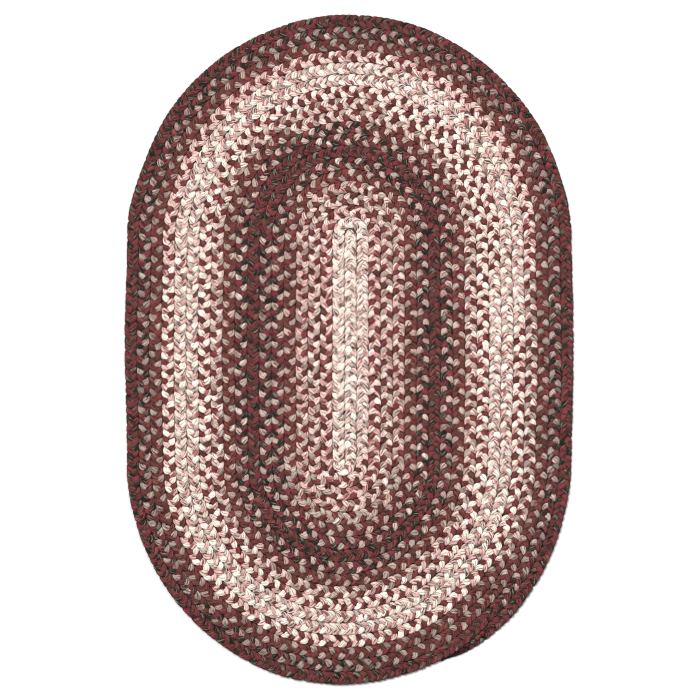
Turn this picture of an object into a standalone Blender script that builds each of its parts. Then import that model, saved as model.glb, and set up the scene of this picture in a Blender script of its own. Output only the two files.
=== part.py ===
# A braided oval rug, lying flat on the floor. It is one long flat braid of three strands. The
# braid starts in the middle of the rug, doubles back on itself and is coiled outwards, clockwise
# seen from above, with every row laced edge to edge to the one before, until its tapered tail is
# tucked against the outermost row. The coil is one solid: the braid's rounded section carried
# along the whole spiral, with the seams between the rows left as grooves.
# Metres, +Z up, +Y along the rug, origin under the middle of the rug.

import math

import bmesh
import bpy
from mathutils import Vector

ROW_PITCH = 0.033  # the braid's width, from seam to seam
THICKNESS = 0.012
SEAM_GAP = 0.0003  # between two rows, at their widest
ROWS_OUT = 18  # rows on each side of the middle run
STRAIGHT_RUN = 0.6245  # between the two points that the rows turn about
SIDE_SWELL = 0.010  # added at mid-length to the row pitch's share, so the long sides bow a little
TAIL_TURN = 64.0  # degrees past the rug's right side at which the tail ends
TAIL_TAPER = 22.0  # degrees over which the tail narrows
TAIL_TIP = 0.12  # width of the tail's end, as a share of the braid's
TAIL_THINNING = 0.55  # share of the braid's thickness that is lost by the tail's end
TURN_EYE = 0.0015  # radius of the hole left where the braid first doubles back

# The hand-laced rows lie a little closer together in some directions than in others.
# Degrees anticlockwise from +X, and the row pitch there as a share of ROW_PITCH.
PITCH_SHARES = [
    {"degrees": 0, "share": 0.983},
    {"degrees": 20, "share": 0.968},
    {"degrees": 45, "share": 0.965},
    {"degrees": 90, "share": 0.977},
    {"degrees": 135, "share": 0.975},
    {"degrees": 160, "share": 0.973},
    {"degrees": 180, "share": 0.996},
    {"degrees": 200, "share": 0.992},
    {"degrees": 225, "share": 0.998},
    {"degrees": 255, "share": 1.012},
    {"degrees": 290, "share": 1.003},
    {"degrees": 300, "share": 1.000},
    {"degrees": 315, "share": 0.981},
    {"degrees": 340, "share": 0.977},
    {"degrees": 360, "share": 0.983},
]

# The braid's section. Across is in row pitches from its middle, outwards; height in thicknesses.
SECTION = [
    {"name": "inner edge of the sole", "across": -0.30, "height": 0.00},
    {"name": "outer edge of the sole", "across": 0.30, "height": 0.00},
    {"name": "outer waist", "across": 0.50, "height": 0.46},
    {"name": "outer shoulder", "across": 0.33, "height": 0.88},
    {"name": "crown", "across": 0.00, "height": 1.00},
    {"name": "inner shoulder", "across": -0.33, "height": 0.88},
    {"name": "inner waist", "across": -0.50, "height": 0.46},
]

# The braid's rounded start, which fills the bend of the first arch. Reach is in row pitches past
# the point that the arch turns about; width is a share of the braid's.
START = [
    {"reach": 0.40, "width": 0.30},
    {"reach": 0.26, "width": 0.74},
    {"reach": 0.00, "width": 1.00},
]

# Facets in a half turn. Each number is twice the one before, so that two neighbouring rows with
# different numbers still have their corners on the same spokes and can't cut into each other.
FACETS = [
    {"rows_up_to": 2.5, "facets": 8},
    {"rows_up_to": 14.5, "facets": 16},
    {"rows_up_to": ROWS_OUT + 0.5, "facets": 32},
]

YARN_COLOUR = (0.36, 0.21, 0.18, 1.0)  # the mixed yarns, seen from far off


def pitch_share_at(degrees):
    # The row pitch's share in one direction, eased from one entry of the table to the next.
    degrees %= 360
    for near, far in zip(PITCH_SHARES, PITCH_SHARES[1:]):
        if degrees <= far["degrees"]:
            part = (degrees - near["degrees"]) / (far["degrees"] - near["degrees"])
            ease = (1 - math.cos(math.pi * part)) / 2
            return near["share"] + (far["share"] - near["share"]) * ease


def facets_at(row):
    return next(band["facets"] for band in FACETS if row <= band["rows_up_to"])


def ring(centre, degrees, row, swell=0.0, width=1.0, height=1.0, lean=0.0, eye=-math.inf):
    # One section of the braid. It stands on the spoke that leaves centre in that direction, row
    # pitches out. lean moves a narrowed section from the row's middle towards its inner side, and
    # eye is the nearest that a point may come to the centre.
    spoke = Vector((math.cos(math.radians(degrees)), math.sin(math.radians(degrees)), 0))
    pitch = ROW_PITCH * (pitch_share_at(degrees) + swell)
    points = []
    for corner in SECTION:
        across = corner["across"] * (1 - SEAM_GAP / pitch)
        out = (row + across * width - lean * (1 - width) / 2) * pitch
        point = centre + spoke * max(out, eye)
        point.z = corner["height"] * height * THICKNESS
        points.append(point)
    return points


def start_rings(centre):
    # The braid's rounded start. Its last section is where the middle run begins.
    rings = []
    for end in START:
        past = Vector((0, end["reach"] * ROW_PITCH, 0))
        rings.append(ring(centre + past, 0, 0, width=end["width"]))
    return rings


def half_turn_rings(centre, half_turn):
    # The middle of a straight run, then the half turn that follows it. Each half turn lies half a
    # row further out than the last, and the run between them lies halfway.
    row = (half_turn + 1) / 2
    degrees = -180 * half_turn
    facets = facets_at(row)
    rings = [ring(Vector((0, 0, 0)), degrees, row - 0.25, swell=SIDE_SWELL)]
    for i in range(facets + 1):
        eye = TURN_EYE if 0 < i < facets else -math.inf
        rings.append(ring(centre, degrees - 180 * i / facets, row, eye=eye))
    return rings


def tail_rings(centre):
    # The last straight run, and the tail, which keeps to the row inside it while it narrows and
    # thins out.
    row = ROWS_OUT + 0.5
    step = 180 / facets_at(row)
    rings = [ring(Vector((0, 0, 0)), 0, row - 0.25, swell=SIDE_SWELL)]
    for i in range(int(TAIL_TURN / step) + 1):
        left = min(1.0, (TAIL_TURN - i * step) / TAIL_TAPER)
        width = max(TAIL_TIP, math.sin(left * math.pi / 2))
        height = 1 - TAIL_THINNING * (1 - left)
        rings.append(ring(centre, -i * step, row, width=width, height=height, lean=1.0))
    return rings


def braid_rings():
    # Every section of the braid, from its start to its tail. The rows turn about two points, the
    # upper and the lower, which the braid passes in turn.
    upper = Vector((ROW_PITCH / 4, STRAIGHT_RUN / 2, 0))
    lower = -upper
    rings = start_rings(upper)
    for half_turn in range(2 * ROWS_OUT):
        rings += half_turn_rings(upper if half_turn % 2 else lower, half_turn)
    return rings + tail_rings(lower)


def braid_mesh(name, rings):
    # Skins the sections into one closed mesh and moves the middle of its underside to the origin.
    mesh = bpy.data.meshes.new(name)
    bm = bmesh.new()
    loops = [[bm.verts.new(point) for point in points] for points in rings]
    for near, far in zip(loops, loops[1:]):
        for i in range(len(SECTION)):
            j = (i + 1) % len(SECTION)
            bm.faces.new((near[i], near[j], far[j], far[i]))
    bm.faces.new(loops[0])
    bm.faces.new(loops[-1])
    bmesh.ops.recalc_face_normals(bm, faces=bm.faces)
    xs = [vert.co.x for vert in bm.verts]
    ys = [vert.co.y for vert in bm.verts]
    middle = Vector((min(xs) + max(xs), min(ys) + max(ys), 0)) / 2
    bmesh.ops.translate(bm, verts=bm.verts, vec=-middle)
    bm.to_mesh(mesh)
    bm.free()
    return mesh


def yarn_material():
    material = bpy.data.materials.new("braided_yarn")
    material.use_nodes = True
    shader = material.node_tree.nodes["Principled BSDF"]
    shader.inputs["Base Color"].default_value = YARN_COLOUR
    shader.inputs["Roughness"].default_value = 0.9
    shader.inputs["Metallic"].default_value = 0.0
    return material


def build_rug():
    mesh = braid_mesh("braid_coil", braid_rings())
    mesh.materials.append(yarn_material())
    mesh.shade_smooth()
    mesh.set_sharp_from_angle(angle=math.radians(50))
    rug = bpy.data.objects.new("braid_coil", mesh)
    bpy.context.collection.objects.link(rug)


for leftover in list(bpy.data.objects):
    bpy.data.objects.remove(leftover)
build_rug()
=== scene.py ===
# A braided oval rug on a pale floor, seen from straight above. One long flat braid of three
# strands of thick yarn is coiled outwards and laced edge to edge. Each strand is a rounded bundle
# of yarns that goes over and under the other two all along the coil. Every length of a strand in
# one yarn is a piece of its own, and so is the yarn that laces the rows together.
# Metres, +Z up, +Y along the rug.

import math

import bpy
import numpy as np
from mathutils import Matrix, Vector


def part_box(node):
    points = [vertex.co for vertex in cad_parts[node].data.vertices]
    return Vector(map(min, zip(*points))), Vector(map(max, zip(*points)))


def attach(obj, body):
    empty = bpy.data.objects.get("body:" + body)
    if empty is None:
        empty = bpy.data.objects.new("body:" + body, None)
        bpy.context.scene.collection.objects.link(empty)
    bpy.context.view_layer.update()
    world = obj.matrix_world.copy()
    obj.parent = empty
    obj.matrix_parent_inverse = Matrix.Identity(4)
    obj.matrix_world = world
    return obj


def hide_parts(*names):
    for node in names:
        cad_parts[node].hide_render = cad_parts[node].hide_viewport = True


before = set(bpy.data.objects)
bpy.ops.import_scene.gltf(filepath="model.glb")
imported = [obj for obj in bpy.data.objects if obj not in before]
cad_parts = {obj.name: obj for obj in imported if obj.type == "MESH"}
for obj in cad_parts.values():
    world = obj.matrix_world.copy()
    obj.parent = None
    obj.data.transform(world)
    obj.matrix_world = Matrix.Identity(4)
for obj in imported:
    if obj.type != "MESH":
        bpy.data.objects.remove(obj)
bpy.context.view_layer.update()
rugLow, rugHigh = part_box("braid_coil")
print("frame loaded, rug box", [round(x, 4) for x in (*rugLow, *rugHigh)])

# The way that the braid is laid, as in the solid: rows turn about an upper and a lower point
coil = {
    "rowPitch": 0.033,  # the braid's width, from seam to seam
    "rowsOut": 18,  # rows on each side of the middle run
    "straightRun": 0.6245,  # between the two points that the rows turn about
    "sideSwell": 0.010,  # added at mid-length to the row pitch's share
    "tailTurn": 64.0,  # degrees past the rug's right side at which the tail ends
    "tailTaper": 22.0,  # degrees over which it narrows
    "tailTip": 0.12,  # width of its end, as a share of the braid's
    "tailThinning": 0.55,  # share of the braid's thickness that is lost by its end
    "stationGap": 0.002,  # between two stations of the worked-out path
    "startStations": 12,  # in the rounded start
    "fewestStations": 24,  # in a bend
}

# Degrees anticlockwise from +X, and the row pitch there as a share of rowPitch
pitchShares = [
    {"degrees": 0, "share": 0.983},
    {"degrees": 20, "share": 0.968},
    {"degrees": 45, "share": 0.965},
    {"degrees": 90, "share": 0.977},
    {"degrees": 135, "share": 0.975},
    {"degrees": 160, "share": 0.973},
    {"degrees": 180, "share": 0.996},
    {"degrees": 200, "share": 0.992},
    {"degrees": 225, "share": 0.998},
    {"degrees": 255, "share": 1.012},
    {"degrees": 290, "share": 1.003},
    {"degrees": 300, "share": 1.000},
    {"degrees": 315, "share": 0.981},
    {"degrees": 340, "share": 0.977},
    {"degrees": 360, "share": 0.983},
]

# The rounded start: row pitches past the point that the first arch turns about, and the width
startWidths = [
    {"reach": 0.40, "width": 0.30},
    {"reach": 0.26, "width": 0.74},
    {"reach": 0.00, "width": 1.00},
]


def pitchAt(degrees, swell):
    # Row pitch in one direction, eased between the entries of the table
    at = np.array([entry["degrees"] for entry in pitchShares], float)
    share = np.array([entry["share"] for entry in pitchShares])
    turned = np.mod(degrees, 360)
    i = np.clip(np.searchsorted(at, turned, side="right") - 1, 0, len(at) - 2)
    part = (turned - at[i]) / (at[i + 1] - at[i])
    ease = (1 - np.cos(math.pi * part)) / 2
    return coil["rowPitch"] * (share[i] + (share[i + 1] - share[i]) * ease + swell)


def stretch(fromCentre, toCentre, rows, degrees, swell=0.0, width=1.0, height=1.0):
    # Stations of one stretch of the path: the point turned about, the direction from it, the row,
    # the row pitch, and the braid's width and height as shares of the whole
    part = np.linspace(0, 1, len(degrees))
    return {
        "centreX": fromCentre[0] + (toCentre[0] - fromCentre[0]) * part,
        "centreY": fromCentre[1] + (toCentre[1] - fromCentre[1]) * part,
        "degrees": degrees,
        "row": rows[0] + (rows[1] - rows[0]) * part,
        "pitch": pitchAt(degrees, swell * np.sin(math.pi * part) ** 2),
        "width": np.zeros(len(degrees)) + width,
        "height": np.zeros(len(degrees)) + height,
    }


def startStretch(upper):
    # The braid's rounded end, up to where the middle run begins
    reach = np.linspace(startWidths[0]["reach"], 0, coil["startStations"])
    reaches = [-entry["reach"] for entry in startWidths]
    widths = np.interp(-reach, reaches, [entry["width"] for entry in startWidths])
    top = upper + np.array([0, reach[0] * coil["rowPitch"]])
    return stretch(top, upper, (0, 0), np.zeros(len(reach)), width=widths)


def tailStretch(centre, row, fromDegrees, degrees):
    # The last bend, which narrows and thins out over its last degrees
    left = np.clip((coil["tailTurn"] + degrees - fromDegrees) / coil["tailTaper"], 0, 1)
    width = np.maximum(coil["tailTip"], np.sin(left * math.pi / 2))
    height = 1 - coil["tailThinning"] * (1 - left)
    return stretch(centre, centre, (row, row), degrees, 0, width, height)


def layCoil():
    # The braid's middle line from its start to its tail, as one table of stations, and the
    # station in the middle of each straight run
    upper = np.array([coil["rowPitch"] / 4, coil["straightRun"] / 2])
    lower = -upper
    lastHalfTurn = 2 * coil["rowsOut"]
    straightSteps = int(coil["straightRun"] / coil["stationGap"])
    stretches = [startStretch(upper)]
    middles = []
    for halfTurn in range(lastHalfTurn + 1):
        fromCentre, toCentre = (lower, upper) if halfTurn % 2 else (upper, lower)
        row = (halfTurn + 1) / 2
        fromDegrees = -180.0 * halfTurn
        middles.append(sum(len(s["row"]) - 1 for s in stretches) + straightSteps // 2)
        straight = np.full(straightSteps, fromDegrees)
        stretches.append(stretch(fromCentre, toCentre, (row - 0.5, row), straight, coil["sideSwell"]))
        turn = 180.0 if halfTurn < lastHalfTurn else coil["tailTurn"]
        bend = math.radians(turn) * row * coil["rowPitch"]
        steps = max(coil["fewestStations"], int(bend / coil["stationGap"]))
        degrees = fromDegrees - np.linspace(0, turn, steps)
        if halfTurn < lastHalfTurn:
            stretches.append(stretch(toCentre, toCentre, (row, row), degrees))
        else:
            stretches.append(tailStretch(toCentre, row, fromDegrees, degrees))
    # Each stretch ends where the next one starts, so all but the last lose their last station
    *others, tail = stretches
    table = {key: np.concatenate([*(s[key][:-1] for s in others), tail[key]]) for key in tail}
    return table, middles


stations, middles = layCoil()


def lineAt(side):
    # The braid's line, side row pitches out from its middle
    turned = np.radians(stations["degrees"])
    out = (stations["row"] + side) * stations["pitch"]
    x = stations["centreX"] + np.cos(turned) * out
    y = stations["centreY"] + np.sin(turned) * out
    return np.stack([x, y], 1)


middleLine = lineAt(0)
outerLine = lineAt(0.5)
lineMiddle = (outerLine.min(0) + outerLine.max(0)) / 2
boxMiddle = (np.array(rugLow[:2]) + np.array(rugHigh[:2])) / 2
stations["centreX"] += boxMiddle[0] - lineMiddle[0]
stations["centreY"] += boxMiddle[1] - lineMiddle[1]
lengthAt = np.concatenate([[0], np.cumsum(np.linalg.norm(np.diff(middleLine, axis=0), axis=1))])
lengthAtMiddle = lengthAt[middles]
braidLength = lengthAt[-1]
outline = outerLine.max(0) - outerLine.min(0)
print("coil laid, braid", round(braidLength, 2), "m, outline", outline.round(4))

# The braid: three strands, each a wave across and two waves up and down in every period
braid = {
    "period": 0.052,
    "sway": 0.35,  # of the row pitch
    "tightness": 0.06,  # third harmonic, which keeps the crossings straight and the turns tight
    "middleHeight": 0.0060,
    "lift": 0.0036,  # up and down from the middle height
    "liftDelay": 0.30,  # radians of that wave, which puts its tops nearer the braid's edges
    "plateau": 0.10,  # third harmonic, which flattens the top of each rise
    "lowest": 0.375,  # periods past its wave's start at which a strand passes under the others
    "strandWidth": 0.0187,  # where it is spread flat, crossing the middle
    "strandThickness": 0.0060,
    "strandRound": 0.033,  # round a strand, for patterns and flat width. The tube has a tenth more
    "edgeWidth": 0.70,  # of the width, where it is bunched up as it turns at the edge
    "edgeThickness": 1.45,  # of the thickness, there
    "spreadDelay": 0.25,  # radians past the middle at which it is spread the most
    "roundness": 2.1,  # power of its section: 2 is an ellipse, and more is squarer
    "pressFrom": 0.972,  # of half a row, from where the next row presses a strand flat
    "seamGap": -0.0002,  # less than nothing: neighbours' fibres mesh
    "endGap": 0.0005,  # kept clear at both ends of the braid
    "rings": 16,  # in a period
    "ringShift": 0.25,  # moves rings to the stretches that show
    "sides": 9,
    "seed": 7,
}

# How unlike each other the lobes of a strand are: standard deviations, of the sway, the width and
# the thickness as shares, and of the lift and the slide along the braid in metres
lobeUnevenness = {"sway": 0.040, "width": 0.09, "thickness": 0.08, "lift": 0.00040, "slide": 0.0020}
spareLobes = {"before": 3, "after": 5}  # past the ends of the braid

# Rows that a hand has laced: the strands drift together by about a millimetre, in slow waves over
# the rug. alongX and alongY are waves in each wave length, and start is in radians
layUnevenness = {
    "move": 0.0012,
    "waveLength": 0.21,
    "movesX": [
        {"alongX": 0.9, "alongY": 0.5, "start": 1.3, "strength": 1.0},
        {"alongX": -0.7, "alongY": 2.1, "start": 0.4, "strength": 0.6},
    ],
    "movesY": [
        {"alongX": -0.8, "alongY": 0.6, "start": 2.6, "strength": 1.0},
        {"alongX": 1.7, "alongY": 1.1, "start": 5.1, "strength": 0.6},
    ],
}


def driftOf(waves, x, y):
    perMetre = 2 * math.pi / layUnevenness["waveLength"]
    drift = 0.0
    for wave in waves:
        along = wave["alongX"] * x + wave["alongY"] * y
        drift = drift + wave["strength"] * np.sin(perMetre * along + wave["start"])
    return layUnevenness["move"] * drift / 2


def toWorld(along, across, height):
    # From the straight braid to the coil. across is metres out from the braid's middle line
    at = {key: np.interp(along, lengthAt, values) for key, values in stations.items()}
    # A tail that narrows keeps to the row inside it
    inTail = along > lengthAtMiddle[-1]
    inwards = np.where(inTail, (1 - at["width"]) * at["pitch"] / 2, 0)
    out = at["row"] * at["pitch"] + across * at["width"] - inwards
    turned = np.radians(at["degrees"])
    x = at["centreX"] + np.cos(turned) * out
    y = at["centreY"] + np.sin(turned) * out
    z = np.maximum(height * at["height"], 0.0)
    driftX = driftOf(layUnevenness["movesX"], x, y)
    driftY = driftOf(layUnevenness["movesY"], x, y)
    return np.stack([x + driftX, y + driftY, z], 1)


def pressed(across, half):
    # The rows are laced tight, so a strand that would reach over the seam is pressed flat there
    knee = half * braid["pressFrom"]
    room = half - braid["seamGap"] - knee
    over = np.maximum(np.abs(across) - knee, 0)
    return np.sign(across) * (np.minimum(np.abs(across), knee) + room * (1 - np.exp(-over / room)))


def lobeValues(rng, count, spread):
    return rng.normal(0, spread, count).clip(-2 * spread, 2 * spread)


def unevenAt(strand, turn):
    # How far a strand is off its even shape at each ring, eased from one lobe to the next
    rng = np.random.default_rng(braid["seed"] + strand)
    lobes = int(2 * braidLength / braid["period"]) + spareLobes["before"] + spareLobes["after"]
    centres = (np.arange(lobes) - spareLobes["before"]) * math.pi + math.pi / 4
    return {k: np.interp(turn, centres, lobeValues(rng, lobes, v)) for k, v in lobeUnevenness.items()}


def strandLine(shift, turn, uneven):
    # The middle line of a strand in the straight braid, and half the row pitch at each ring
    along = turn / (2 * math.pi) * braid["period"] + shift + uneven["slide"]
    along = along.clip(braid["endGap"], braidLength - braid["endGap"])
    pitch = np.interp(along, lengthAt, stations["pitch"])
    sway = braid["sway"] * pitch * (1 + uneven["sway"])
    across = sway * (np.sin(turn) - braid["tightness"] * np.sin(3 * turn))
    wave = 2 * turn - braid["liftDelay"]
    rise = braid["lift"] * (np.sin(wave) + braid["plateau"] * np.sin(3 * wave))
    height = braid["middleHeight"] + uneven["lift"] + rise
    return np.stack([across, along, height], 1), pitch / 2


def sectionAlong(turn, uneven):
    # Width and thickness of a strand: spread flat in the middle, bunched up at the edges
    spread = np.cos(turn - braid["spreadDelay"]) ** 2
    edgeWidth, edgeThickness = braid["edgeWidth"], braid["edgeThickness"]
    wide = braid["strandWidth"] * (1 + uneven["width"]) * (edgeWidth + (1 - edgeWidth) * spread)
    thick = braid["strandThickness"] * (1 + uneven["thickness"])
    return wide, thick * (edgeThickness + (1 - edgeThickness) * spread)


def strandMesh(name, strand, fromLength, toLength):
    # The rings of one strand between two lengths along the braid, and its own length
    period, rings, sides = braid["period"], braid["rings"], braid["sides"]
    shift = strand * period / 3
    first = round((fromLength - shift) / period * rings)
    last = round((toLength - shift) / period * rings)
    even = np.arange(first, last + 1) * (2 * math.pi / rings)
    turn = even + braid["ringShift"] / 2 * np.cos(2 * even)
    uneven = unevenAt(strand, turn)
    line, half = strandLine(shift, turn, uneven)
    wide, thick = sectionAlong(turn, uneven)

    heading = np.gradient(line, axis=0)
    heading /= np.linalg.norm(heading, axis=1)[:, None]
    side = np.cross(heading, (0, 0, 1))
    side /= np.linalg.norm(side, axis=1)[:, None]
    up = np.cross(side, heading)
    turnRound = np.arange(sides) / sides * 2 * math.pi - math.pi / 2
    power = 2 / braid["roundness"]
    wideShare = np.sign(np.cos(turnRound)) * np.abs(np.cos(turnRound)) ** power
    tallShare = np.sign(np.sin(turnRound)) * np.abs(np.sin(turnRound)) ** power
    points = line[:, None, :] + side[:, None, :] * (wide[:, None] * wideShare / 2)[..., None]
    points = points + up[:, None, :] * (thick[:, None] * tallShare / 2)[..., None]
    points = points.reshape(-1, 3)
    across = pressed(points[:, 0], np.repeat(half, sides))
    world = toWorld(points[:, 1].clip(0, braidLength), across, points[:, 2])

    gaps = np.linalg.norm(np.diff(line, axis=0), axis=1)
    run = np.concatenate([[0], np.cumsum(gaps)]) + strand * spun["strandShift"] + fromLength
    return tubeMesh(name, world, run, sides), run[-1] - run[0]


def tubeMesh(name, points, run, sides):
    # Skins rings of points into a tube and closes its ends. run is the length along it at each
    rings = len(run)
    ring = np.arange(rings - 1)[:, None] * sides
    corner = np.arange(sides)[None, :]
    after = (corner + 1) % sides
    quads = np.stack([ring + corner, ring + after, ring + sides + after, ring + sides + corner], -1)
    faces = quads.reshape(-1, 4).tolist()
    faces.append(list(range(sides))[::-1])
    faces.append(list(range((rings - 1) * sides, rings * sides)))
    mesh = bpy.data.meshes.new(name)
    mesh.from_pydata(points.tolist(), [], faces)
    mesh.shade_smooth()

    # One map runs along and round the tube in metres, for the yarns' pattern
    aroundShare = np.stack([corner[0], corner[0] + 1, corner[0] + 1, corner[0]], 1) / sides
    alongRing = np.stack([run[:-1], run[:-1], run[1:], run[1:]], 1)
    u = np.repeat(alongRing[:, None, :], sides, axis=1)
    v = np.repeat(aroundShare[None, :, :] * braid["strandRound"], rings - 1, axis=0)
    writeMap(mesh, "alongStrand", u, v, sides)

    # The other has the same rings folded into a square, with no two in one place, for baking
    columns = max(1, math.ceil(math.sqrt((rings - 1) * sides)))
    bands = math.ceil((rings - 1) / columns)
    place = np.arange(rings - 1)
    start = (place % columns) / columns
    foldedRing = np.stack([start, start, start + 1 / columns, start + 1 / columns], 1)
    u = np.repeat(foldedRing[:, None, :], sides, axis=1)
    v = ((place // columns)[:, None, None] + aroundShare[None, :, :]) / bands
    writeMap(mesh, "OFBake", u, v, sides)
    return mesh


def writeMap(mesh, name, u, v, sides):
    layer = mesh.uv_layers.new(name=name)
    pairs = np.stack([u, v], -1).reshape(-1, 2)
    ends = np.full((2 * sides, 2), pairs[0])  # the two end caps
    layer.data.foreach_set("uv", np.concatenate([pairs, ends]).astype(np.float32).ravel())


def toLinear(hexColour):
    values = [int(hexColour[i:i + 2], 16) / 255 for i in (1, 3, 5)]
    return [v / 12.92 if v <= 0.04045 else ((v + 0.055) / 1.055) ** 2.4 for v in values] + [1.0]


def addNode(tree, kind, settings, inputs):
    # A node with its settings, and each input either a value or the output that feeds it
    node = tree.nodes.new(kind)
    for key, value in settings.items():
        setattr(node, key, value)
    for key, value in inputs.items():
        if isinstance(value, bpy.types.NodeSocket):
            tree.links.new(value, node.inputs[key])
        else:
            node.inputs[key].default_value = value
    return node


# Each strand is a bundle of spun yarns in one or more colours, each with its share of the bundle.
# drift is a second dye lot, and flecks is how flecked the yarn is, from 0 to 1
yarns = {
    "cream": {
        "yarns": [("#FFFBEE", 0.75), ("#FBF0E0", 0.25)],
        "drift": "#F6E5D4", "fleck": "#BFA592", "flecks": 0.15,
    },
    "mottled": {
        "yarns": [("#CFB5AB", 0.33), ("#EBD4CA", 0.25), ("#F7E8DE", 0.24), ("#A58377", 0.11),
                  ("#6E4E45", 0.07)],
        "drift": "#D0B8AF", "fleck": "#5F4039", "flecks": 0.42,
    },
    "blush": {
        "yarns": [("#FAE3DB", 0.6), ("#FDEFE7", 0.25), ("#E9C8BF", 0.15)],
        "drift": "#EBCFC6", "fleck": "#A97569", "flecks": 0.35,
    },
    "pink": {
        "yarns": [("#F1D0C8", 0.5), ("#F8DED5", 0.22), ("#E2B6AD", 0.2), ("#A66362", 0.08)],
        "drift": "#E2BAB1", "fleck": "#915552", "flecks": 0.35,
    },
    "rose": {
        "yarns": [("#E8C5BC", 0.4), ("#D5AAA1", 0.3), ("#98595A", 0.3)],
        "drift": "#C6958B", "fleck": "#7E4340", "flecks": 0.4, "slot": "pink",
    },
    "taupe": {
        "yarns": [("#CFB8AC", 0.45), ("#C0AA9F", 0.25), ("#D5B1A6", 0.2), ("#E3D2C7", 0.1)],
        "drift": "#B39B93", "fleck": "#7F6356", "flecks": 0.35,
    },
    "stone": {
        "yarns": [("#BCA89E", 0.45), ("#AB988F", 0.25), ("#C2A299", 0.2), ("#D2C1B8", 0.1)],
        "drift": "#9E8982", "fleck": "#6E5549", "flecks": 0.35, "slot": "taupe",
    },
    "maroon": {
        "yarns": [("#7F3E3D", 0.4), ("#6C3A36", 0.25), ("#7E393E", 0.2), ("#8E4F4B", 0.15)],
        "drift": "#6C3F38", "fleck": "#42201D", "flecks": 0.3,
    },
    "wine": {
        "yarns": [("#81373F", 0.4), ("#6C3438", 0.25), ("#813742", 0.2), ("#8C4A4A", 0.15)],
        "drift": "#6C3C39", "fleck": "#42201D", "flecks": 0.3,
    },
    "brown": {
        "yarns": [("#6D423B", 0.6), ("#5A3730", 0.25), ("#814D45", 0.15)],
        "drift": "#763D3B", "fleck": "#3A201B", "flecks": 0.25,
    },
    "green_black": {
        "yarns": [("#201E17", 0.42), ("#372A24", 0.24), ("#653739", 0.29), ("#7C7468", 0.05)],
        "drift": "#362620", "fleck": "#7E7568", "flecks": 0.17,
    },
    # The lacing's dark brown is partly painted shade, standing for the shadow down in the seams
    "lacing": {
        "yarns": [("#6B4740", 0.7), ("#7A524A", 0.3)],
        "drift": "#5C3C36", "fleck": "#4A2E29", "flecks": 0.2, "slot": "brown",
    },
}

# How the yarns are spun, in metres
spun = {
    "count": 6,  # yarns round one strand
    "lay": 0.34,  # in which the bundle turns once
    "groove": 0.50,  # colour left between two yarns, where the light doesn't reach
    "grooveTop": 0.38,  # of a yarn's height, up to which it is darkened
    "spliceGap": 0.07,  # one colour in a yarn before the next is spliced on
    "spliceStagger": 0.37,  # of that, from one yarn of the bundle to the next
    "strandShift": 97.0,  # moves the pattern along from one strand to the next
    "ridge": 0.0011,  # height of a yarn in the relief
    "fuzz": 0.00025,  # height of its fibres there
    "fuzzWidth": 0.0008,  # of a tuft. Single fibres are too fine to show, so tufts stand for them
    "fleckLength": 0.020,
    "fleckWidth": 0.0022,
    "fleckLevels": (0.62, 0.74),  # of the noise, where a fleck begins and is full
    "fleckReach": 0.3,  # lowers both in a look that is all flecks
    "drift": 0.045,  # over which the dye lot drifts to the second one
    "driftLevels": (0.45, 0.65),  # of the noise, from the first dye lot to the second
    "blotch": 0.030,  # along the strand
    "blotchLevels": (0.3, 0.7),
    "blotchShade": (0.84, 1.06),  # of the colour's brightness, at those levels
    "paintedShade": "#7C5850",  # painted shade: colour left at the braid's mid-height, deep between the strands, where little light reaches
    "paintedShadeLevels": (0.0006, 0.0033),  # from mid-height, where that painted shade begins to clear and is gone
}

# Matte, with a soft sheen at grazing angles
yarnFinish = {
    "Roughness": 0.92,
    "Specular IOR Level": 0.12,
    "Sheen Weight": 0.06,
    "Sheen Roughness": 0.6,
}


def plyColour(tree, look, along, ply):
    # The colour of one yarn of the bundle, which changes at its splices
    whole = addNode(tree, "ShaderNodeMath", {"operation": "FLOOR"}, {0: ply})
    number = addNode(tree, "ShaderNodeMath", {"operation": "FLOORED_MODULO"},
                     {0: whole.outputs[0], 1: float(spun["count"])})
    shifted = addNode(tree, "ShaderNodeMath", {"operation": "MULTIPLY_ADD"},
                      {0: along, 1: 1 / spun["spliceGap"], 2: number.outputs[0]})
    splice = addNode(tree, "ShaderNodeMath", {"operation": "MULTIPLY_ADD"},
                     {0: number.outputs[0], 1: spun["spliceStagger"], 2: shifted.outputs[0]})
    length = addNode(tree, "ShaderNodeMath", {"operation": "FLOOR"}, {0: splice.outputs[0]})
    yarnAndLength = addNode(tree, "ShaderNodeCombineXYZ", {},
                            {"X": number.outputs[0], "Y": length.outputs[0]})
    pick = addNode(tree, "ShaderNodeTexWhiteNoise", {"noise_dimensions": "2D"},
                   {"Vector": yarnAndLength.outputs[0]})
    ramp = addNode(tree, "ShaderNodeValToRGB", {}, {"Fac": pick.outputs["Value"]})
    ramp.color_ramp.interpolation = "CONSTANT"
    start = 0.0
    for i, (colour, share) in enumerate(look["yarns"]):
        stop = ramp.color_ramp.elements[0] if i == 0 else ramp.color_ramp.elements.new(start)
        stop.position = start
        stop.color = toLinear(colour)
        start += share
    ramp.color_ramp.elements.remove(ramp.color_ramp.elements[-1])
    return ramp.outputs["Color"]


def dyedColour(tree, look, place, colour):
    # The slow drift to the second dye lot
    dyeLot = addNode(tree, "ShaderNodeTexNoise", {"noise_dimensions": "2D"},
                     {"Vector": place, "Scale": 1 / spun["drift"], "Detail": 1.0})
    driftFrom, driftTo = spun["driftLevels"]
    drift = addNode(tree, "ShaderNodeMapRange", {},
                    {"Value": dyeLot.outputs["Fac"], "From Min": driftFrom, "From Max": driftTo})
    dyed = addNode(tree, "ShaderNodeMix", {"data_type": "RGBA"},
                   {"Factor": drift.outputs[0], "A": colour, "B": toLinear(look["drift"])})
    return dyed.outputs["Result"]


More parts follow.
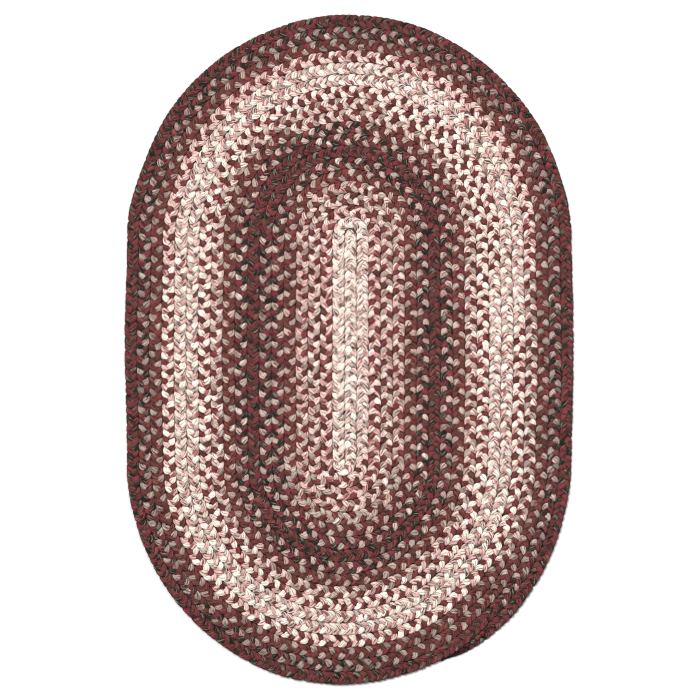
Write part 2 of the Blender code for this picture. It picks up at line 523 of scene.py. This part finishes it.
def fleckedColour(tree, look, along, around, colour):
    # Flecks: short lengths of another fibre that run with the yarn
    fleckPlace = addNode(tree, "ShaderNodeCombineXYZ", {}, {})
    for axis, source, size in (("X", along, spun["fleckLength"]), ("Y", around, spun["fleckWidth"])):
        scaled = addNode(tree, "ShaderNodeMath", {"operation": "MULTIPLY"}, {0: source, 1: 1 / size})
        tree.links.new(scaled.outputs[0], fleckPlace.inputs[axis])
    fleck = addNode(tree, "ShaderNodeTexNoise", {"noise_dimensions": "2D"},
                    {"Vector": fleckPlace.outputs[0], "Scale": 1.0, "Detail": 1.0})
    fleckFrom, fleckTo = [level - look["flecks"] * spun["fleckReach"] for level in spun["fleckLevels"]]
    edge = addNode(tree, "ShaderNodeMapRange", {},
                   {"Value": fleck.outputs["Fac"], "From Min": fleckFrom, "From Max": fleckTo})
    flecked = addNode(tree, "ShaderNodeMix", {"data_type": "RGBA"},
                      {"Factor": edge.outputs[0], "A": colour, "B": toLinear(look["fleck"])})
    return flecked.outputs["Result"]


def shadedColour(tree, along, ridge, colour):
    # Painted shade in the grooves between the yarns and in the depths between the strands, and
    # blotches of stronger and weaker dye
    groove = addNode(tree, "ShaderNodeMapRange", {},
                     {"Value": ridge, "From Max": spun["grooveTop"], "To Min": spun["groove"]})
    blotch = addNode(tree, "ShaderNodeTexNoise", {"noise_dimensions": "1D"},
                     {"W": along, "Scale": 1 / spun["blotch"], "Detail": 1.0})
    blotchFrom, blotchTo = spun["blotchLevels"]
    darkest, lightest = spun["blotchShade"]
    dye = addNode(tree, "ShaderNodeMapRange", {},
                  {"Value": blotch.outputs["Fac"], "From Min": blotchFrom, "From Max": blotchTo,
                   "To Min": darkest, "To Max": lightest})
    shade = addNode(tree, "ShaderNodeMath", {"operation": "MULTIPLY"},
                    {0: groove.outputs[0], 1: dye.outputs[0]})
    shaded = addNode(tree, "ShaderNodeVectorMath", {"operation": "SCALE"},
                     {0: colour, "Scale": shade.outputs[0]})
    # Painted shade: the colour darkens towards the braid's mid-height, deep between the strands
    where = addNode(tree, "ShaderNodeNewGeometry", {}, {})
    level = addNode(tree, "ShaderNodeSeparateXYZ", {}, {"Vector": where.outputs["Position"]})
    fromMiddle = addNode(tree, "ShaderNodeMath", {"operation": "SUBTRACT"},
                         {0: level.outputs["Z"], 1: braid["middleHeight"]})
    depth = addNode(tree, "ShaderNodeMath", {"operation": "ABSOLUTE"}, {0: fromMiddle.outputs[0]})
    paintedShadeFrom, paintedShadeTo = spun["paintedShadeLevels"]
    paintedShade = addNode(tree, "ShaderNodeMapRange", {},
                   {"Value": depth.outputs[0], "From Min": paintedShadeFrom, "From Max": paintedShadeTo})
    dark = addNode(tree, "ShaderNodeMix", {"data_type": "RGBA"},
                   {"Factor": paintedShade.outputs[0], "A": toLinear(spun["paintedShade"]), "B": (1, 1, 1, 1)})
    darkened = addNode(tree, "ShaderNodeVectorMath", {"operation": "MULTIPLY"},
                       {0: shaded.outputs[0], 1: dark.outputs["Result"]})
    return darkened.outputs[0]


def yarnMaterial(name, look):
    # Spun wool blend, dyed and fuzzy. The yarns lie side by side and turn slowly round the strand
    material = bpy.data.materials.new(name + "_wool_blend_yarn")
    material.use_nodes = True
    tree = material.node_tree
    place = addNode(tree, "ShaderNodeUVMap", {"uv_map": "alongStrand"}, {}).outputs["UV"]
    split = addNode(tree, "ShaderNodeSeparateXYZ", {}, {"Vector": place})
    along, around = split.outputs["X"], split.outputs["Y"]
    turned = addNode(tree, "ShaderNodeMath", {"operation": "MULTIPLY"},
                     {0: along, 1: spun["count"] / spun["lay"]})
    ply = addNode(tree, "ShaderNodeMath", {"operation": "MULTIPLY_ADD"},
                  {0: around, 1: spun["count"] / braid["strandRound"], 2: turned.outputs[0]})
    wave = addNode(tree, "ShaderNodeMath", {"operation": "MULTIPLY"}, {0: ply.outputs[0], 1: math.pi})
    bent = addNode(tree, "ShaderNodeMath", {"operation": "SINE"}, {0: wave.outputs[0]})
    ridge = addNode(tree, "ShaderNodeMath", {"operation": "ABSOLUTE"}, {0: bent.outputs[0]})

    colour = plyColour(tree, look, along, ply.outputs[0])
    colour = dyedColour(tree, look, place, colour)
    colour = fleckedColour(tree, look, along, around, colour)
    colour = shadedColour(tree, along, ridge.outputs[0], colour)

    # Relief: the round of each yarn, and the fuzz of its fibres
    fuzz = addNode(tree, "ShaderNodeTexNoise", {},
                   {"Vector": place, "Scale": 1 / spun["fuzzWidth"], "Detail": 2.0})
    yarnBump = addNode(tree, "ShaderNodeBump", {},
                       {"Height": ridge.outputs[0], "Distance": spun["ridge"]})
    fuzzBump = addNode(tree, "ShaderNodeBump", {},
                       {"Height": fuzz.outputs["Fac"], "Distance": spun["fuzz"],
                        "Normal": yarnBump.outputs[0]})
    shader = tree.nodes["Principled BSDF"]
    tree.links.new(colour, shader.inputs["Base Color"])
    tree.links.new(fuzzBump.outputs[0], shader.inputs["Normal"])
    for socket, value in yarnFinish.items():
        shader.inputs[socket].default_value = value
    return material


materials = {name: yarnMaterial(name, look) for name, look in yarns.items()}
print("yarns made:", len(materials))

# Which yarn each strand is in, and from where. Half turns are counted from the middle of one
# long side to the middle of the other, and the first middle is the middle run's own
joins = [
    {"strand": 0, "yarn": "mottled", "halfTurn": -1.0},
    {"strand": 0, "yarn": "maroon", "halfTurn": 2.36},
    {"strand": 0, "yarn": "wine", "halfTurn": 10.2},
    {"strand": 0, "yarn": "maroon", "halfTurn": 18.0},
    {"strand": 0, "yarn": "mottled", "halfTurn": 23.89},
    {"strand": 0, "yarn": "maroon", "halfTurn": 27.97},
    {"strand": 0, "yarn": "wine", "halfTurn": 33.0},
    {"strand": 1, "yarn": "blush", "halfTurn": -1.0},
    {"strand": 1, "yarn": "rose", "halfTurn": 2.45},
    {"strand": 1, "yarn": "taupe", "halfTurn": 4.5},
    {"strand": 1, "yarn": "brown", "halfTurn": 13.22},
    {"strand": 1, "yarn": "taupe", "halfTurn": 15.43},
    {"strand": 1, "yarn": "cream", "halfTurn": 21.57},
    {"strand": 1, "yarn": "blush", "halfTurn": 29.1},
    {"strand": 1, "yarn": "stone", "halfTurn": 29.89},
    {"strand": 1, "yarn": "brown", "halfTurn": 34.30},
    {"strand": 2, "yarn": "cream", "halfTurn": -1.0},
    {"strand": 2, "yarn": "blush", "halfTurn": 1.6},
    {"strand": 2, "yarn": "pink", "halfTurn": 6.5},
    {"strand": 2, "yarn": "taupe", "halfTurn": 8.28},
    {"strand": 2, "yarn": "brown", "halfTurn": 8.74},
    {"strand": 2, "yarn": "green_black", "halfTurn": 10.69},
    {"strand": 2, "yarn": "brown", "halfTurn": 17.56},
    {"strand": 2, "yarn": "blush", "halfTurn": 19.40},
    {"strand": 2, "yarn": "pink", "halfTurn": 21.9},
    {"strand": 2, "yarn": "blush", "halfTurn": 29.9},
    {"strand": 2, "yarn": "brown", "halfTurn": 30.27},
    {"strand": 2, "yarn": "green_black", "halfTurn": 32.45},
]


def lengthOf(halfTurn):
    return float(np.interp(halfTurn, range(len(lengthAtMiddle)), lengthAtMiddle))


def hiddenNear(strand, length):
    # The nearest length at which a strand passes under the others, as it does twice in a period
    period = braid["period"]
    shift = strand * period / 3 + braid["lowest"] * period
    return round((length - shift) / (period / 2)) * period / 2 + shift


def addPiece(name, mesh, yarn):
    # A piece of the rug in one yarn. All of them together stand for the solid
    mesh.materials.append(materials[yarn])
    piece = bpy.data.objects.new(name, mesh)
    bpy.context.collection.objects.link(piece)
    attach(piece, "root")
    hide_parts("braid_coil")
    return piece


def trianglesIn(mesh):
    return sum(len(face.vertices) - 2 for face in mesh.polygons)


def layStrands():
    # One piece from each join to the next of its strand. The joins are hidden under the others
    triangles = 0
    for i, join in enumerate(joins):
        strand, yarn = join["strand"], join["yarn"]
        later = [other for other in joins[i + 1:] if other["strand"] == strand]
        fromLength = hiddenNear(strand, lengthOf(join["halfTurn"])) if join["halfTurn"] > 0 else 0.0
        toLength = hiddenNear(strand, lengthOf(later[0]["halfTurn"])) if later else braidLength
        name = f"strand_{strand + 1}_{i + 1:02d}_{yarn}"
        mesh, run = strandMesh(name, strand, fromLength, toLength)
        piece = addPiece(name, mesh, yarn)
        triangles += trianglesIn(mesh)
        print(name, round(run, 2), "m", trianglesIn(mesh), "triangles")
    print("strands laid:", len(joins), "pieces,", triangles, "triangles")


# The yarn that laces each row to the one inside it, down in the seam between them. Its dark brown is
# partly painted shade: it stands for the shadow in the seam, and it keeps the pale floor from showing
# through there
lacing = {
    "width": 0.0046,
    "thickness": 0.0030,
    "height": 0.0048,  # of its middle over the floor
    "snake": 0.0006,  # to either side of the seam
    "snakesInPeriod": 1.5,  # of the braid
    "endGap": 0.004,  # short of the tail's end
    "ringGap": 0.0173,
    "sides": 4,
}


def lacingMesh(name):
    # From the first bend, where two runs first lie side by side, to the tail's end
    sides = lacing["sides"]
    fromLength = (lengthAtMiddle[0] + lengthAtMiddle[1]) / 2
    rings = int((braidLength - fromLength) / lacing["ringGap"])
    along = np.linspace(fromLength, braidLength - lacing["endGap"], rings)
    half = np.interp(along, lengthAt, stations["pitch"]) / 2
    turn = along * 2 * math.pi / braid["period"]
    snake = lacing["snake"] * np.sin(turn * lacing["snakesInPeriod"])
    turnRound = np.arange(sides) / sides * 2 * math.pi + math.pi / 2
    across = (snake - half)[:, None] + lacing["width"] / 2 * np.cos(turnRound)[None, :]
    height = lacing["height"] + lacing["thickness"] / 2 * np.sin(turnRound)
    points = toWorld(np.repeat(along, sides), across.ravel(), np.tile(height, rings))
    return tubeMesh(name, points, along, sides)


def laceRows():
    mesh = lacingMesh("seam_lacing")
    addPiece("seam_lacing", mesh, "lacing")
    print("rows laced,", trianglesIn(mesh), "triangles")


floor = {"size": 40.0, "colour": "#F4F4F4", "roughness": 0.9}


def layFloor():
    # Matt white paint: an even ground that throws soft light back and shows no reflections
    half = floor["size"] / 2
    corners = [(-half, -half, 0), (half, -half, 0), (half, half, 0), (-half, half, 0)]
    mesh = bpy.data.meshes.new("pale_floor")
    mesh.from_pydata(corners, [], [(0, 1, 2, 3)])
    material = bpy.data.materials.new("matt_painted_floor")
    material.use_nodes = True
    shader = material.node_tree.nodes["Principled BSDF"]
    shader.inputs["Base Color"].default_value = toLinear(floor["colour"])
    shader.inputs["Roughness"].default_value = floor["roughness"]
    mesh.materials.append(material)
    plane = bpy.data.objects.new("pale_floor", mesh)
    bpy.context.collection.objects.link(plane)


# A broad lamp from the upper left, and a softer one close above the rug's middle
lights = [
    {"name": "key", "kind": "SUN", "from": (-1.2, 1.6, 3.2), "spread": 20.0, "strength": 2.0},
    {"name": "overhead", "kind": "AREA", "from": (0.1, 0.35, 2.0), "size": 1.4, "watts": 24.0},
]
sky = {"colour": "#FFFFFF", "strength": 0.36}


def lightScene():
    world = bpy.data.worlds.new("studio")
    bpy.context.scene.world = world
    world.use_nodes = True
    background = world.node_tree.nodes["Background"]
    background.inputs["Color"].default_value = toLinear(sky["colour"])
    background.inputs["Strength"].default_value = sky["strength"]
    for lamp in lights:
        data = bpy.data.lights.new(lamp["name"], lamp["kind"])
        if lamp["kind"] == "SUN":
            data.angle = math.radians(lamp["spread"])
            data.energy = lamp["strength"]
        else:
            data.size = lamp["size"]
            data.energy = lamp["watts"]
        light = bpy.data.objects.new(lamp["name"], data)
        light.location = lamp["from"]
        light.rotation_euler = (-light.location).to_track_quat("-Z", "Y").to_euler()
        bpy.context.collection.objects.link(light)


# The camera looks straight down and takes in the photograph's own square
camera = {
    "lens": 120.0,
    "sensor": 36.0,
    "clipEnd": 50.0,  # takes in the whole floor
    "photoPixels": 700,
    "metresAPixel": 0.002716,  # at the rug's top
    "over": (0.0022, -0.0014),  # the point of the rug in the middle of the picture
    "pixelFilter": 1.1,  # pixels, which is sharper than Blender's own
}


def placeCamera():
    data = bpy.data.cameras.new("camera")
    data.lens = camera["lens"]
    data.sensor_width = camera["sensor"]
    data.clip_end = camera["clipEnd"]
    width = camera["photoPixels"] * camera["metresAPixel"]
    high = width * camera["lens"] / camera["sensor"] + rugHigh[2]
    eye = bpy.data.objects.new("camera", data)
    eye.location = (*camera["over"], high)
    bpy.context.collection.objects.link(eye)
    bpy.context.scene.camera = eye
    bpy.context.scene.view_settings.view_transform = "Standard"
    bpy.context.scene.cycles.filter_width = camera["pixelFilter"]


layStrands()
laceRows()
layFloor()
lightScene()
placeCamera()
print("floor, lights and camera placed")
